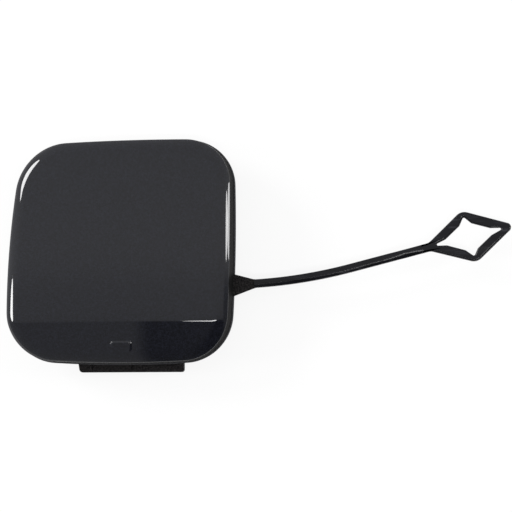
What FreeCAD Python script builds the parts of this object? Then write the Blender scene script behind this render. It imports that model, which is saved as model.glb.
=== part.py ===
"""Tow eye cover for a car bumper, one injection moulding.

The cover lies face up, as it rests on a bench. The origin is on the rim plane, the plane that seats on
the bumper's ledge, in the middle of the face. +Z points out of the painted face, +X towards the tether
and +Y away from the tongue. Lengths are millimetres and angles are degrees.

The moulding is a crowned square panel with a rolled edge and a soft crease above its lower band, a
skirt with a lip at its foot, a tongue that hooks behind the bumper along the lower edge, two snap hooks
along the upper edge, guide tabs, stiffening ribs, and a flat strap that ends in a diamond-shaped anchor.
The anchor folds to pass through a hole in the bumper and keeps the cover with the car.
"""
import FreeCAD, Part
import math
import os
from types import SimpleNamespace

import Sketcher
from FreeCAD import Vector

SIZES = (
    # Outline of the panel at the rim plane: four slightly bowed sides and four round corners.
    ("reach_right", 40.4, "centre to the furthest point of the right side"),
    ("reach_top", 39.3, "centre to the furthest point of the upper side"),
    ("reach_left", 40.4, "centre to the furthest point of the left side"),
    ("reach_bottom", 39.2, "centre to the furthest point of the lower side"),
    ("bow_right", 620.0, "radius of the right side's bow"),
    ("bow_top", 1030.0, "radius of the upper side's bow"),
    ("bow_left", 406.0, "radius of the left side's bow"),
    ("bow_bottom", 394.0, "radius of the lower side's bow"),
    ("crest_right", 9.6, "height of the right side's furthest point above the centre"),
    ("crest_top", 10.7, "distance of the upper side's furthest point right of the centre"),
    ("crest_left", 28.2, "depth of the left side's furthest point below the centre"),
    ("crest_bottom", 1.5, "distance of the lower side's furthest point right of the centre"),
    ("corner_top_right", 16.3, "radius of the upper right corner"),
    ("corner_top_left", 19.2, "radius of the upper left corner"),
    ("corner_bottom_left", 17.2, "radius of the lower left corner"),
    ("corner_bottom_right", 17.1, "radius of the lower right corner"),
    # Crowned face, its crease, the rolled edge and the skirt.
    ("crown_height", 13.0, "rim plane to the highest point of the face"),
    ("crown_across", 320.0, "radius of the face from left to right"),
    ("crown_along", 320.0, "radius of the face from top to bottom"),
    ("crease_line", 24.5, "centre down to the crease"),
    ("crease_turn", 8.0, "angle that the face turns back at the crease"),
    ("crease_round", 6.0, "radius of the crease"),
    ("band_bow", 250.0, "radius of the lower band from top to bottom"),
    ("edge_roll", 3.4, "radius that rolls the face into the skirt"),
    ("skirt_draft", 1.5, "draft of the skirt"),
    ("shell_wall", 2.2, "thickness of the panel and the skirt"),
    ("lip_reach", 0.35, "how far the lip stands out from the skirt"),
    ("lip_depth", 1.2, "height of the lip above the rim plane"),
    # Press mark on the lower band.
    ("mark_width", 7.1, "press mark from left to right"),
    ("mark_length", 3.1, "press mark from top to bottom"),
    ("mark_rise", 0.35, "height of the press mark above the face"),
    ("mark_corner", 0.8, "corner radius of the press mark"),
    ("mark_right", 1.95, "middle of the press mark right of the centre"),
    ("mark_below", 33.4, "centre down to the middle of the press mark"),
    ("mark_root", 8.8, "height inside the panel's wall where the press mark starts"),
    # Stiffening ribs on the back of the panel.
    ("rib_wall", 1.2, "thickness of a rib or a gusset"),
    ("rib_foot", 7.0, "height of the ribs' free edge above the rim plane"),
    ("rib_pitch_across", 24.0, "distance between the two upright ribs"),
    ("rib_pitch_along", 22.0, "distance between the two level ribs"),
    # Snap hooks along the upper edge.
    ("ledge_width", 5.3, "how far the bumper's ledge reaches in from the panel's outline"),
    ("ledge_gap", 3.2, "rim plane to the faces that hold the back of the ledge"),
    ("hook_pitch", 36.0, "distance between the two snap hooks"),
    ("hook_width", 8.0, "width of a snap hook"),
    ("hook_arm", 1.7, "thickness of a snap hook's arm"),
    ("hook_barb", 1.5, "how far the barb stands out from the arm"),
    ("hook_land", 0.8, "flat height of the barb"),
    ("hook_tip", 1.1, "thickness of the hook at its tip"),
    ("hook_root", 9.4, "height inside the panel's wall where hooks and tabs start"),
    ("catch_reach", 9.0, "rim plane to the tips of the hooks and the guide tabs"),
    # Guide tabs at the left and right sides, lower down.
    ("tab_width", 7.5, "width of a guide tab along the side"),
    ("tab_wall", 1.7, "thickness of a guide tab"),
    ("tab_below", 19.0, "centre down to the middle of the guide tabs"),
    ("tab_lead", 0.8, "chamfer at the tip of a guide tab"),
    ("gusset_reach", 4.5, "how far a gusset reaches towards the middle"),
    ("gusset_root", 10.0, "height inside the panel's wall where a gusset starts"),
    ("gusset_drop", 5.0, "rim plane to the lower end of a gusset"),
    # Tongue along the lower edge.
    ("tongue_width", 38.9, "tongue from left to right"),
    ("tongue_right", 2.35, "middle of the tongue right of the centre"),
    ("tongue_wall", 2.0, "thickness of the tongue and of its web"),
    ("tongue_reach", 2.8, "how far the tongue passes the lower edge of the panel"),
    ("tongue_slant", 1.2, "how far the tongue's left end runs in towards its tip"),
    ("tongue_corner", 1.2, "corner radius of the tongue's tip"),
    ("tongue_root", 8.5, "height inside the panel's wall where the tongue's web starts"),
    ("crush_rib_width", 0.8, "width of a crush rib on the tongue"),
    ("crush_rib_rise", 0.35, "height of a crush rib"),
    ("tongue_pitch", 14.35, "distance between the tongue's crush ribs and between its gussets"),
    # Tether: a root web, a strap and the diamond anchor at its end.
    ("tether_below", 11.5, "centre down to the middle of the strap where it starts"),
    ("tether_lift", 0.2, "rim plane to the underside of the tether"),
    ("web_base", 6.8, "width of the root web at the skirt"),
    ("web_length", 7.2, "length of the root web"),
    ("web_wall", 1.4, "thickness of the root web"),
    ("strap_width", 3.0, "width of the strap"),
    ("strap_wall", 2.0, "thickness of the strap and the anchor"),
    ("strap_heading", 2.8, "direction in which the strap leaves the web"),
    ("strap_bend", 176.0, "radius of the strap's bend"),
    ("strap_turn", 11.2, "angle of the strap's bend"),
    ("strap_straight", 41.8, "end of the bend to the middle of the anchor"),
    ("anchor_half_length", 16.35, "middle of the anchor to its acute corner, before rounding"),
    ("anchor_half_width", 9.3, "middle of the anchor to its obtuse corner, before rounding"),
    ("anchor_side_corner", 3.8, "radius of the obtuse corners"),
    ("anchor_tip_corner", 1.55, "radius of the acute corner at the free end"),
    ("anchor_root_round", 3.5, "radius between the strap and the anchor"),
    ("anchor_bar", 3.15, "width of a bar along its widest stretch"),
    ("eye_half_length", 11.45, "middle of the anchor to the eye's long corner"),
    ("eye_half_width", 6.9, "middle of the anchor to the eye's side corner, where the anchor folds"),
    ("eye_corner", 0.5, "radius of the eye's corners"),
    ("bar_start", 2.05, "start of a bar's widest stretch, along the anchor from its middle"),
    ("bar_end", 7.8, "end of a bar's widest stretch, along the anchor from its middle"),
    ("bar_round", 1.5, "radius at both ends of a bar's widest stretch"),
    ("tether_edge", 0.4, "chamfer on the edges of the strap and the anchor"),
)

# How far a tool runs past what it cuts, and a piece into what it joins, so that no faces coincide.
OVERRUN = 1.0
# Angle and height of the cut that leaves the crown, enough to clear the whole panel.
CROWN_SWEEP = 24.0
CROWN_CLEARANCE = 8.0
# A face whose normal rises by less than this is a wall, and any other belongs to the crown.
WALL_RISE = 0.5

START, END, CENTRE = range(1, 4)
SKETCH_ORIGIN = (-1, START)
SIDES = ("right", "top", "left", "bottom")
CORNERS = ("top_right", "top_left", "bottom_left", "bottom_right")

doc = FreeCAD.newDocument("tow_eye_cover")
sheet = doc.addObject("Spreadsheet::Sheet", "Sizes")
for row, (alias, value, meaning) in enumerate(SIZES, start=1):
    sheet.set(f"A{row}", meaning)
    sheet.set(f"B{row}", str(value))
    sheet.setAlias(f"B{row}", alias)
doc.recompute()


class Measure:
    """A number together with the expression that gives it.

    A sketch is drawn at the number and bound to the expression, so both come from one formula.
    """

    def __init__(self, text, number):
        self.text = text
        self.number = number

    def __add__(self, other):
        other = measure(other)
        return Measure(f"({self.text} + {other.text})", self.number + other.number)

    def __sub__(self, other):
        other = measure(other)
        return Measure(f"({self.text} - {other.text})", self.number - other.number)

    def __mul__(self, other):
        other = measure(other)
        return Measure(f"({self.text} * {other.text})", self.number * other.number)

    def __truediv__(self, other):
        other = measure(other)
        return Measure(f"({self.text} / {other.text})", self.number / other.number)

    def __radd__(self, other):
        return measure(other) + self

    def __rsub__(self, other):
        return measure(other) - self

    def __rmul__(self, other):
        return measure(other) * self

    def __neg__(self):
        return 0 - self


def measure(value):
    """A plain number as a Measure, and a Measure as it is."""
    return value if isinstance(value, Measure) else Measure(str(value), float(value))


def sine(angle):
    return Measure(f"sin({angle.text} * 1 deg)", math.sin(math.radians(angle.number)))


def cosine(angle):
    return Measure(f"cos({angle.text} * 1 deg)", math.cos(math.radians(angle.number)))


def root(square):
    return Measure(f"sqrt({square.text})", math.sqrt(square.number))


size = SimpleNamespace(**{a: Measure(f"Sizes.{a}", float(sheet.get(a))) for a, _, _ in SIZES})


def origin_plane(body, role):
    """The origin plane of a body: XY_Plane, XZ_Plane or YZ_Plane."""
    return next(f for f in body.Origin.OriginFeatures if f.Role == role)


def new_body(name):
    body = doc.addObject("PartDesign::Body", name)
    body.Label = name
    return body


def new_sketch(body, name, role, offset=(0, 0, 0), heading=0):
    """An empty sketch on an origin plane, moved along the plane's own axes and turned about its normal."""
    sketch = body.newObject("Sketcher::SketchObject", name)
    sketch.AttachmentSupport = [(origin_plane(body, role), "")]
    sketch.MapMode = "FlatFace"
    for axis, distance in zip("xyz", offset):
        sketch.setExpression(f"AttachmentOffset.Base.{axis}", measure(distance).text)
    sketch.setExpression("AttachmentOffset.Rotation.Angle", f"{measure(heading).text} * 1 deg")
    return sketch


def relate(sketch, kind, *where):
    """Adds a constraint that has no size, such as Tangent or Coincident."""
    sketch.addConstraint(Sketcher.Constraint(kind, *where))


def bind(sketch, kind, *where, to):
    """Adds a constraint with a size, and binds the size to the sheet."""
    to = measure(to)
    index = sketch.addConstraint(Sketcher.Constraint(kind, *where, to.number))
    sketch.setExpression(f"Constraints[{index}]", to.text)


def place(sketch, index, point, across, along):
    """Fixes a point of an edge at its distances from the sketch's origin."""
    bind(sketch, "DistanceX", *SKETCH_ORIGIN, index, point, to=across)
    bind(sketch, "DistanceY", *SKETCH_ORIGIN, index, point, to=along)


def angle_of(centre, point):
    return math.atan2(point.y - centre.y, point.x - centre.x)


def draw_arc(sketch, centre, radius, start, end):
    """Draws an arc that runs counter-clockwise between two angles in radians, and returns its index."""
    circle = Part.Circle(centre, Vector(0, 0, 1), radius)
    while end < start:
        end += 2 * math.pi
    return sketch.addGeometry(Part.ArcOfCircle(circle, start, end))


def draw_polygon(sketch, corners):
    """Draws a closed outline of straight edges with every corner fixed."""
    corners = [(measure(across), measure(along)) for across, along in corners]
    points = [Vector(across.number, along.number, 0) for across, along in corners]
    first = sketch.GeometryCount
    for here, following in zip(points, points[1:] + points[:1]):
        sketch.addGeometry(Part.LineSegment(here, following))
    edges = range(first, sketch.GeometryCount)
    for edge, following, corner in zip(edges, [*edges[1:], first], corners):
        relate(sketch, "Coincident", edge, END, following, START)
        place(sketch, edge, START, *corner)


def draw_outline(sketch, inset):
    """Draws the panel's outline, moved inwards by an inset, as eight arcs that run into each other."""
    inset = measure(inset)
    bows = [getattr(size, f"bow_{side}") for side in SIDES]
    rounds = [getattr(size, f"corner_{corner}") for corner in CORNERS]
    depths = [getattr(size, f"reach_{side}") - bow for side, bow in zip(SIDES, bows)]
    centres = [
        (depths[0], size.crest_right),
        (size.crest_top, depths[1]),
        (-depths[2], -size.crest_left),
        (size.crest_bottom, -depths[3]),
    ]
    side_at = [Vector(across.number, along.number, 0) for across, along in centres]
    corner_at = []
    for i in range(4):
        # The corner's circle touches both bows from inside, so its centre lies on two circles.
        here, following = side_at[i], side_at[(i + 1) % 4]
        from_here = bows[i].number - rounds[i].number
        from_following = bows[(i + 1) % 4].number - rounds[i].number
        apart = (following - here).Length
        along = (from_here**2 - from_following**2 + apart**2) / (2 * apart)
        unit = (following - here) / apart
        aside = Vector(-unit.y, unit.x, 0) * math.sqrt(from_here**2 - along**2)
        corner_at.append(min((here + unit * along + s * aside for s in (-1, 1)), key=lambda p: p.Length))
    arcs = []
    for i in range(4):
        before, after, following = corner_at[i - 1], corner_at[i], side_at[(i + 1) % 4]
        bow, round_off = bows[i] - inset, rounds[i] - inset
        meeting = angle_of(side_at[i], after)
        side = draw_arc(sketch, side_at[i], bow.number, angle_of(side_at[i], before), meeting)
        corner = draw_arc(sketch, after, round_off.number, meeting, angle_of(following, after))
        place(sketch, side, CENTRE, *centres[i])
        bind(sketch, "Radius", side, to=bow)
        bind(sketch, "Radius", corner, to=round_off)
        arcs += [side, corner]
    for here, following in zip(arcs, arcs[1:] + arcs[:1]):
        relate(sketch, "Tangent", here, END, following, START)


def draw_crown(sketch, inset):
    """Draws the region above the face in the upright middle plane, and the level line it turns about.

    The face's line is three arcs that run into each other: the main crown, the crease and the lower
    band. An inset moves the line into the panel, with every arc about its own centre.
    """
    inset = measure(inset)
    lean_sine = size.crease_line / size.crown_along
    lean_cosine = root(1 - lean_sine * lean_sine)
    turned_sine = lean_sine * cosine(size.crease_turn) + lean_cosine * sine(size.crease_turn)
    turned_cosine = root(1 - turned_sine * turned_sine)
    crown_level = size.crown_height - size.crown_along
    crease_across = -(size.crown_along - size.crease_round) * lean_sine
    crease_level = crown_level + (size.crown_along - size.crease_round) * lean_cosine
    band_across = crease_across + (size.band_bow - size.crease_round) * turned_sine
    band_level = crease_level - (size.band_bow - size.crease_round) * turned_cosine
    far_down = size.reach_bottom + 2 * OVERRUN
    far_up = size.reach_top + 2 * OVERRUN
    above = size.crown_height + CROWN_CLEARANCE
    crown_radius, crease_radius, band_radius = (
        radius - inset for radius in (size.crown_along, size.crease_round, size.band_bow)
    )

    crown_at = Vector(0, crown_level.number, 0)
    crease_at = Vector(crease_across.number, crease_level.number, 0)
    band_at = Vector(band_across.number, band_level.number, 0)
    crown_start = math.acos(far_up.number / crown_radius.number)
    band_end = math.acos((-far_down.number - band_at.x) / band_radius.number)
    crown = draw_arc(sketch, crown_at, crown_radius.number, crown_start, angle_of(crown_at, crease_at))
    crease = draw_arc(
        sketch, crease_at, crease_radius.number, angle_of(crown_at, crease_at), angle_of(band_at, crease_at)
    )
    band = draw_arc(sketch, band_at, band_radius.number, angle_of(band_at, crease_at), band_end)
    low_left = band_at + Vector(math.cos(band_end), math.sin(band_end), 0) * band_radius.number
    low_right = crown_at + Vector(math.cos(crown_start), math.sin(crown_start), 0) * crown_radius.number
    high_left = Vector(-far_down.number, above.number, 0)
    high_right = Vector(far_up.number, above.number, 0)
    left = sketch.addGeometry(Part.LineSegment(low_left, high_left))
    top = sketch.addGeometry(Part.LineSegment(high_left, high_right))
    right = sketch.addGeometry(Part.LineSegment(high_right, low_right))
    relate(sketch, "Tangent", crown, END, crease, START)
    relate(sketch, "Tangent", crease, END, band, START)
    for here, following in ((band, left), (left, top), (top, right), (right, crown)):
        relate(sketch, "Coincident", here, END, following, START)
    relate(sketch, "Vertical", left)
    relate(sketch, "Vertical", right)
    place(sketch, crown, CENTRE, 0, crown_level)
    bind(sketch, "DistanceX", *SKETCH_ORIGIN, crease, CENTRE, to=crease_across)
    bind(sketch, "DistanceX", *SKETCH_ORIGIN, band, CENTRE, to=band_across)
    bind(sketch, "Radius", crown, to=crown_radius)
    bind(sketch, "Radius", crease, to=crease_radius)
    bind(sketch, "Radius", band, to=band_radius)
    place(sketch, top, START, -far_down, above)
    place(sketch, top, END, far_up, above)

    axis_level = size.crown_height - size.crown_across
    axis_ends = (Vector(far.number, axis_level.number, 0) for far in (-far_down, far_up))
    axis = sketch.addGeometry(Part.LineSegment(*axis_ends), True)
    place(sketch, axis, START, -far_down, axis_level)
    place(sketch, axis, END, far_up, axis_level)


def feature(body, kind, name, **settings):
    """A feature of a body. A setting that is a Measure is bound to the sheet."""
    made = body.newObject(f"PartDesign::{kind}", name)
    for setting, value in settings.items():
        if isinstance(value, Measure):
            made.setExpression(setting, value.text)
        else:
            setattr(made, setting, value)
    return made


def crown_groove(body, name, inset):
    """Cuts a body along the crowned face, or along the same face moved into the panel."""
    sketch = new_sketch(body, f"{name}_profile", "YZ_Plane")
    draw_crown(sketch, inset)
    return feature(
        body, "Groove", name,
        Profile=sketch, ReferenceAxis=(sketch, ["Axis0"]), Midplane=True, Angle=CROWN_SWEEP,
    )


def edges_where(shape, chosen):
    """Names of the edges of a shape whose both ends and middle all answer yes."""
    names = []
    for number, edge in enumerate(shape.Edges, start=1):
        first, last = edge.ParameterRange
        points = [edge.valueAt(first + part * (last - first)) for part in (0, 0.5, 1)]
        if all(chosen(point) for point in points):
            names.append(f"Edge{number}")
    return names


def skirt_top_edges(shape):
    """Names of the edges where an upright wall meets the crowned face."""
    walls, crowned = [], []
    for face in shape.Faces:
        u_start, u_end, v_start, v_end = face.ParameterRange
        upward = face.normalAt((u_start + u_end) / 2, (v_start + v_end) / 2).z
        if abs(upward) < WALL_RISE:
            walls.append(face)
        elif upward > 0:
            crowned.append(face)

    def borders(edge, faces):
        return any(edge.isSame(other) for face in faces for other in face.Edges)

    return [
        f"Edge{number}"
        for number, edge in enumerate(shape.Edges, start=1)
        if borders(edge, walls) and borders(edge, crowned)
    ]


def soften(body, kind, name, radius, chosen):
    """Rounds or chamfers the edges of a body's newest feature that a test of their points picks."""
    doc.recompute()
    base = body.Tip
    setting = "Radius" if kind == "Fillet" else "Size"
    return feature(body, kind, name, Base=(base, edges_where(base.Shape, chosen)), **{setting: radius})


def roll_edge(body, name, radius):
    """Rolls the crowned face into the skirt all round the outline."""
    doc.recompute()
    base = body.Tip
    return feature(body, "Fillet", name, Base=(base, skirt_top_edges(base.Shape)), Radius=radius)


def near(value, target, within=0.05):
    return abs(value - target) < within


def make_hollow():
    """The space behind the panel, with the stiffening ribs already taken out of it."""
    body = new_body("hollow")
    outline = new_sketch(body, "hollow_outline", "XY_Plane", (0, 0, -OVERRUN))
    draw_outline(outline, size.shell_wall)
    feature(
        body, "Pad", "hollow_block",
        Profile=outline, Length=size.crown_height + OVERRUN, TaperAngle=-size.skirt_draft,
    )
    crown_groove(body, "hollow_crown", size.shell_wall)
    across, along = size.rib_pitch_across / 2, size.rib_pitch_along / 2
    length = size.reach_left + OVERRUN
    half = size.rib_wall / 2
    upright = new_sketch(body, "upright_ribs_plan", "XY_Plane", (0, 0, size.rib_foot))
    level = new_sketch(body, "level_ribs_plan", "XY_Plane", (0, 0, size.rib_foot))
    for side in (-1, 1):
        left, right = side * across - half, side * across + half
        draw_polygon(upright, [(left, -length), (right, -length), (right, length), (left, length)])
        low, high = side * along - half, side * along + half
        draw_polygon(level, [(-length, low), (length, low), (length, high), (-length, high)])
    feature(body, "Pocket", "upright_ribs", Profile=upright, Type="ThroughAll", Reversed=True)
    feature(body, "Pocket", "level_ribs", Profile=level, Type="ThroughAll", Reversed=True)
    return body


def make_mark():
    """The press mark, a small pad that follows the lower band just above its surface."""
    body = new_body("press_mark")
    left, right = size.mark_right - size.mark_width / 2, size.mark_right + size.mark_width / 2
    low, high = -size.mark_below - size.mark_length / 2, -size.mark_below + size.mark_length / 2
    plan = new_sketch(body, "mark_plan", "XY_Plane", (0, 0, size.mark_root))
    draw_polygon(plan, [(left, low), (right, low), (right, high), (left, high)])
    feature(
        body, "Pad", "mark_block", Profile=plan, Length=size.crown_height + OVERRUN - size.mark_root
    )
    soften(
        body, "Fillet", "mark_corners", size.mark_corner,
        lambda p: (near(p.x, left.number) or near(p.x, right.number)) and (
            near(p.y, low.number) or near(p.y, high.number)
        ),
    )
    crown_groove(body, "mark_crown", -size.mark_rise)
    return body


def add_panel(body, hollow, mark):
    """The crowned panel with its rolled edge, skirt, lip and press mark, hollowed from behind."""
    outline = new_sketch(body, "panel_outline", "XY_Plane")
    draw_outline(outline, 0)
    feature(
        body, "Pad", "panel",
        Profile=outline, Length=size.crown_height + OVERRUN, TaperAngle=-size.skirt_draft,
    )
    crown_groove(body, "crown", 0)
    roll_edge(body, "edge_roll", size.edge_roll)
    lip_outline = new_sketch(body, "lip_outline", "XY_Plane")
    draw_outline(lip_outline, -size.lip_reach)
    feature(body, "Pad", "lip", Profile=lip_outline, Length=size.lip_depth)
    hollowed = feature(body, "Boolean", "hollowed", Type="Cut")
    hollowed.setObjects([hollow])
    marked = feature(body, "Boolean", "marked", Type="Fuse")
    marked.setObjects([mark])


def add_catches(body):
    """Two snap hooks and two guide tabs with gussets, each mirrored about the upright middle plane."""
    hook_back = size.reach_top - size.ledge_width
    hook_front = hook_back - size.hook_arm
    barb = hook_back + size.hook_barb
    barb_end = -size.ledge_gap - size.hook_land
    hook_side = new_sketch(body, "hook_side", "YZ_Plane", (0, 0, size.hook_pitch / 2))
    draw_polygon(hook_side, [
        (hook_front, size.hook_root),
        (hook_front, -size.catch_reach),
        (hook_front + size.hook_tip, -size.catch_reach),
        (barb, barb_end),
        (barb, -size.ledge_gap),
        (hook_back, -size.ledge_gap),
        (hook_back, size.hook_root),
    ])
    hook = feature(
        body, "Pad", "snap_hook", Profile=hook_side, Length=size.hook_width, SideType="Symmetric"
    )
    tab_face = size.reach_right - size.ledge_width
    tab_back = tab_face - size.tab_wall
    tab_side = new_sketch(body, "tab_side", "XZ_Plane", (0, 0, size.tab_below))
    draw_polygon(tab_side, [
        (tab_back, size.hook_root),
        (tab_back, -size.catch_reach),
        (tab_face - size.tab_lead, -size.catch_reach),
        (tab_face, size.tab_lead - size.catch_reach),
        (tab_face, size.hook_root),
    ])
    tab = feature(
        body, "Pad", "guide_tab", Profile=tab_side, Length=size.tab_width, SideType="Symmetric"
    )
    gusset_side = new_sketch(body, "tab_gusset_side", "XZ_Plane", (0, 0, size.tab_below))
    draw_polygon(gusset_side, [
        (tab_back - size.gusset_reach, size.gusset_root),
        (tab_back, -size.gusset_drop),
        (tab_face, -size.gusset_drop),
        (tab_face, size.hook_root),
        (tab_back, size.gusset_root),
    ])
    gusset = feature(
        body, "Pad", "tab_gusset", Profile=gusset_side, Length=size.rib_wall, SideType="Symmetric"
    )
    pair = feature(
        body, "Mirrored", "other_catches",
        Originals=[hook, tab, gusset], MirrorPlane=(origin_plane(body, "YZ_Plane"), [""]),
    )
    body.Tip = pair


def add_tongue(body):
    """The tongue, which leaves the panel on a web, turns out below the rim and hooks behind the bumper."""
    web_face = size.ledge_width - size.reach_bottom
    web_back = web_face + size.tongue_wall
    tongue_top = -size.ledge_gap
    tongue_foot = tongue_top - size.tongue_wall
    tip = -size.reach_bottom - size.tongue_reach
    left = size.tongue_right - size.tongue_width / 2
    right = size.tongue_right + size.tongue_width / 2
    web_plan = new_sketch(body, "tongue_web_plan", "XY_Plane", (0, 0, tongue_foot))
    draw_polygon(web_plan, [(left, web_face), (right, web_face), (right, web_back), (left, web_back)])
    feature(body, "Pad", "tongue_web", Profile=web_plan, Length=size.tongue_root - tongue_foot)
    plan = new_sketch(body, "tongue_plan", "XY_Plane", (0, 0, tongue_foot))
    draw_polygon(plan, [(left, web_back), (left + size.tongue_slant, tip), (right, tip), (right, web_back)])
    feature(body, "Pad", "tongue", Profile=plan, Length=size.tongue_wall)
    soften(
        body, "Fillet", "tongue_corners", size.tongue_corner,
        lambda p: near(p.y, tip.number) and (
            near(p.x, left.number + size.tongue_slant.number) or near(p.x, right.number)
        ),
    )
    for step, name in enumerate(("left", "middle", "right"), start=-1):
        across = size.tongue_right + step * size.tongue_pitch
        half = size.crush_rib_width / 2
        start, end = web_back, tip + size.tongue_corner
        rib_plan = new_sketch(body, f"{name}_crush_rib_plan", "XY_Plane", (0, 0, tongue_foot))
        draw_polygon(rib_plan, [
            (across - half, start), (across - half, end), (across + half, end), (across + half, start)
        ])
        feature(
            body, "Pad", f"{name}_crush_rib",
            Profile=rib_plan, Length=size.tongue_wall + size.crush_rib_rise,
        )
        side = new_sketch(body, f"{name}_gusset_side", "YZ_Plane", (0, 0, across))
        draw_polygon(side, [
            (web_back + size.gusset_reach, size.gusset_root),
            (web_back, size.tongue_root),
            (web_face, size.tongue_root),
            (web_face, tongue_top),
            (web_back, tongue_top),
        ])
        feature(
            body, "Pad", f"{name}_gusset", Profile=side, Length=size.rib_wall, SideType="Symmetric"
        )


def add_tether(body):
    """The root web, the flat strap with its one gentle bend, and the diamond anchor with its eye."""
    half = size.strap_width / 2
    start = (size.reach_right + size.web_length, -size.tether_below, size.tether_lift)
    web_plan = new_sketch(body, "web_plan", "XY_Plane", start, size.strap_heading)
    base_half = size.web_base / 2
    draw_polygon(web_plan, [
        (-size.web_length - OVERRUN, -base_half), (-size.web_length, -base_half), (0, -half),
        (0, half), (-size.web_length, base_half), (-size.web_length - OVERRUN, base_half),
    ])
    feature(body, "Pad", "root_web", Profile=web_plan, Length=size.web_wall)

    strap_plan = new_sketch(body, "strap_plan", "XY_Plane", start, size.strap_heading)
    bend_at = Vector(0, size.strap_bend.number, 0)
    turned_sine, turned_cosine = sine(size.strap_turn), cosine(size.strap_turn)
    first, last = -math.pi / 2, math.radians(size.strap_turn.number) - math.pi / 2
    straight = size.strap_straight - size.anchor_half_length + size.anchor_bar
    inner_radius, outer_radius = size.strap_bend - half, size.strap_bend + half
    inner = draw_arc(strap_plan, bend_at, inner_radius.number, first, last)
    outer = draw_arc(strap_plan, bend_at, outer_radius.number, first, last)
    forward = Vector(turned_cosine.number, turned_sine.number, 0) * straight.number
    inner_end, outer_end = (
        bend_at + Vector(turned_sine.number, -turned_cosine.number, 0) * radius.number
        for radius in (inner_radius, outer_radius)
    )
    start_points = (Vector(0, -half.number, 0), Vector(0, half.number, 0))
    inner_line = strap_plan.addGeometry(Part.LineSegment(inner_end, inner_end + forward))
    end_line = strap_plan.addGeometry(Part.LineSegment(inner_end + forward, outer_end + forward))
    outer_line = strap_plan.addGeometry(Part.LineSegment(outer_end + forward, outer_end))
    start_line = strap_plan.addGeometry(Part.LineSegment(*start_points))
    relate(strap_plan, "Tangent", inner, END, inner_line, START)
    relate(strap_plan, "Coincident", inner_line, END, end_line, START)
    relate(strap_plan, "Coincident", end_line, END, outer_line, START)
    relate(strap_plan, "Tangent", outer_line, END, outer, END)
    relate(strap_plan, "Coincident", outer, START, start_line, START)
    relate(strap_plan, "Coincident", start_line, END, inner, START)
    place(strap_plan, inner, CENTRE, 0, size.strap_bend)
    relate(strap_plan, "Coincident", inner, CENTRE, outer, CENTRE)
    bind(strap_plan, "Radius", inner, to=inner_radius)
    bind(strap_plan, "Radius", outer, to=outer_radius)
    bind(strap_plan, "DistanceX", *SKETCH_ORIGIN, inner, START, to=0)
    bind(strap_plan, "DistanceX", *SKETCH_ORIGIN, outer, START, to=0)
    bind(strap_plan, "DistanceX", *SKETCH_ORIGIN, inner, END, to=inner_radius * turned_sine)
    bind(strap_plan, "DistanceX", *SKETCH_ORIGIN, outer, END, to=outer_radius * turned_sine)
    bind(strap_plan, "Distance", inner_line, to=straight)
    bind(strap_plan, "Distance", outer_line, to=straight)
    feature(body, "Pad", "strap", Profile=strap_plan, Length=size.strap_wall)

    # The anchor's middle lies straight on from the end of the bend.
    along = size.strap_bend * turned_sine + size.strap_straight * turned_cosine
    aside = size.strap_bend * (1 - turned_cosine) + size.strap_straight * turned_sine
    heading_sine, heading_cosine = sine(size.strap_heading), cosine(size.strap_heading)
    middle = (
        start[0] + along * heading_cosine - aside * heading_sine,
        start[1] + along * heading_sine + aside * heading_cosine,
        size.tether_lift,
    )
    heading = size.strap_heading + size.strap_turn
    tip, flank = size.anchor_half_length, size.anchor_half_width
    anchor_plan = new_sketch(body, "anchor_plan", "XY_Plane", middle, heading)
    draw_polygon(anchor_plan, [(-tip, 0), (0, -flank), (tip, 0), (0, flank)])
    feature(body, "Pad", "anchor", Profile=anchor_plan, Length=size.strap_wall)

    centre = Vector(middle[0].number, middle[1].number, 0)
    direction = Vector(math.cos(math.radians(heading.number)), math.sin(math.radians(heading.number)), 0)
    sideways = Vector(-direction.y, direction.x, 0)

    def in_anchor(point):
        """A point's distance along and across the anchor from its middle."""
        offset = Vector(point.x, point.y, 0) - centre
        return offset.dot(direction), offset.dot(sideways)

    def at_flank(point):
        u, v = in_anchor(point)
        return near(u, 0) and near(abs(v), flank.number)

    def at_tip(point):
        u, v = in_anchor(point)
        return near(u, tip.number) and near(v, 0)

    def at_root(point):
        u, v = in_anchor(point)
        return u < 0 and near(abs(v), half.number) and near(
            abs(v), (1 + u / tip.number) * flank.number
        )

    soften(body, "Fillet", "anchor_side_corners", size.anchor_side_corner, at_flank)
    soften(body, "Fillet", "anchor_tip", size.anchor_tip_corner, at_tip)
    soften(body, "Fillet", "anchor_root", size.anchor_root_round, at_root)

    # A bar's inner side runs at the bar's width from the outer side, whose slope is flank to tip.
    slope = flank / tip
    bar_across = size.anchor_bar * root(1 + slope * slope)
    start_across = flank - bar_across - slope * size.bar_start
    end_across = flank - bar_across - slope * size.bar_end
    eye_length, eye_width = size.eye_half_length, size.eye_half_width
    eye_plan = new_sketch(body, "eye_plan", "XY_Plane", middle, heading)
    draw_polygon(eye_plan, [
        (-eye_length, 0), (-size.bar_end, -end_across), (-size.bar_start, -start_across),
        (0, -eye_width), (size.bar_start, -start_across), (size.bar_end, -end_across),
        (eye_length, 0), (size.bar_end, end_across), (size.bar_start, start_across),
        (0, eye_width), (-size.bar_start, start_across), (-size.bar_end, end_across),
    ])
    feature(body, "Pocket", "eye", Profile=eye_plan, Type="ThroughAll", Reversed=True)

    def at_eye_corner(point):
        u, v = in_anchor(point)
        return (near(v, 0) and near(abs(u), eye_length.number)) or (
            near(u, 0) and near(abs(v), eye_width.number)
        )

    def at_bar_end(point):
        u, v = in_anchor(point)
        return (near(abs(u), size.bar_start.number) and near(abs(v), start_across.number)) or (
            near(abs(u), size.bar_end.number) and near(abs(v), end_across.number)
        )

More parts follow.
